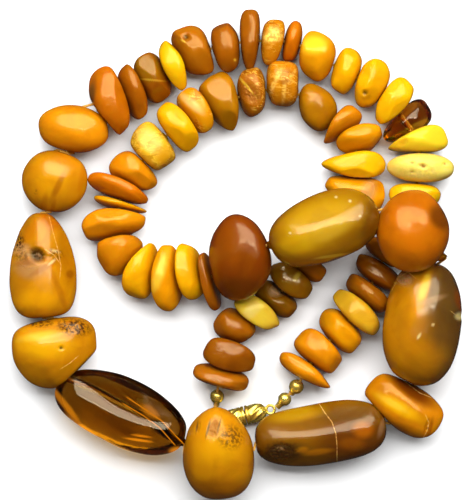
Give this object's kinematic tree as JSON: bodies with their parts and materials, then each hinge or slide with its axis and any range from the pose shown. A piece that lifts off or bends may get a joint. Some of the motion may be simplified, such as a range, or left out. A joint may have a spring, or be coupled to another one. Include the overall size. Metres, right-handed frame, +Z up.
{
  "type": "amber bead necklace",
  "caption": "Necklace of raw and tumbled amber beads on one thread, with brass balls and a closed barrel clasp, laid down in a loose coil.",
  "frame": {"origin": "on the surface that the necklace lies on, under the middle of the coil's bounding box", "axes": "+Z up from the surface. The clasp and the loop's two inner ends are towards -Y, and +X is to the right as the coil is seen from above"},
  "size_m": [0.1129, 0.1226, 0.026],
  "materials": {
    "amber_butterscotch": "polished",
    "amber_orange": "polished",
    "amber_yellow": "polished",
    "amber_pale": "satin",
    "amber_golden": "polished",
    "amber_olive": "polished",
    "amber_brown": "polished",
    "amber_red_brown": "polished",
    "amber_cherry": "polished",
    "amber_cognac": "polished",
    "brass": "polished",
    "thread": "twisted"
  },
  "bodies": {
    "root": {"bead_19": "amber_butterscotch", "bead_25": "amber_butterscotch", "bead_28": "amber_butterscotch", "bead_41": "amber_butterscotch", "bead_54": "amber_butterscotch", "beads_16_17": "amber_butterscotch", "beads_55_56": "amber_butterscotch", "nugget_butterscotch": "amber_butterscotch", "bead_11": "amber_orange", "bead_13": "amber_orange", "bead_22": "amber_orange", "bead_26": "amber_orange", "beads_14_15": "amber_orange", "beads_23_24": "amber_orange", "beads_31_32": "amber_orange", "beads_48_50": "amber_orange", "nugget_orange": "amber_orange", "nugget_smooth": "amber_orange", "bead_12": "amber_yellow", "bead_20": "amber_yellow", "bead_27": "amber_yellow", "bead_34": "amber_yellow", "bead_40": "amber_yellow", "bead_42": "amber_yellow", "bead_43": "amber_yellow", "bead_47": "amber_yellow", "beads_29_30": "amber_yellow", "nugget_banded": "amber_yellow", "bead_04": "amber_pale", "bead_21": "amber_pale", "bead_45": "amber_pale", "bead_46": "amber_pale", "bead_53": "amber_pale", "beads_38_39": "amber_golden", "nugget_heart": "amber_golden", "nugget_scratched": "amber_golden", "nugget_tall": "amber_golden", "nugget_two_tone": "amber_golden", "bead_18": "amber_olive", "beads_05_06": "amber_olive", "nugget_khaki": "amber_olive", "nugget_olive": "amber_olive", "bead_01": "amber_brown", "bead_02": "amber_brown", "bead_03": "amber_brown", "bead_33": "amber_brown", "bead_35": "amber_brown", "beads_08_10": "amber_brown", "beads_36_37": "amber_brown", "bead_07": "amber_red_brown", "beads_51_52": "amber_red_brown", "nugget_red_brown": "amber_red_brown", "bead_44": "amber_cherry", "nugget_clear": "amber_cognac", "ball_left": "brass", "ball_right_a": "brass", "ball_right_b": "brass", "clasp_stud_half": "brass", "clasp_bore_half": "brass", "thread": "thread"}
  },
  "joints": []
}
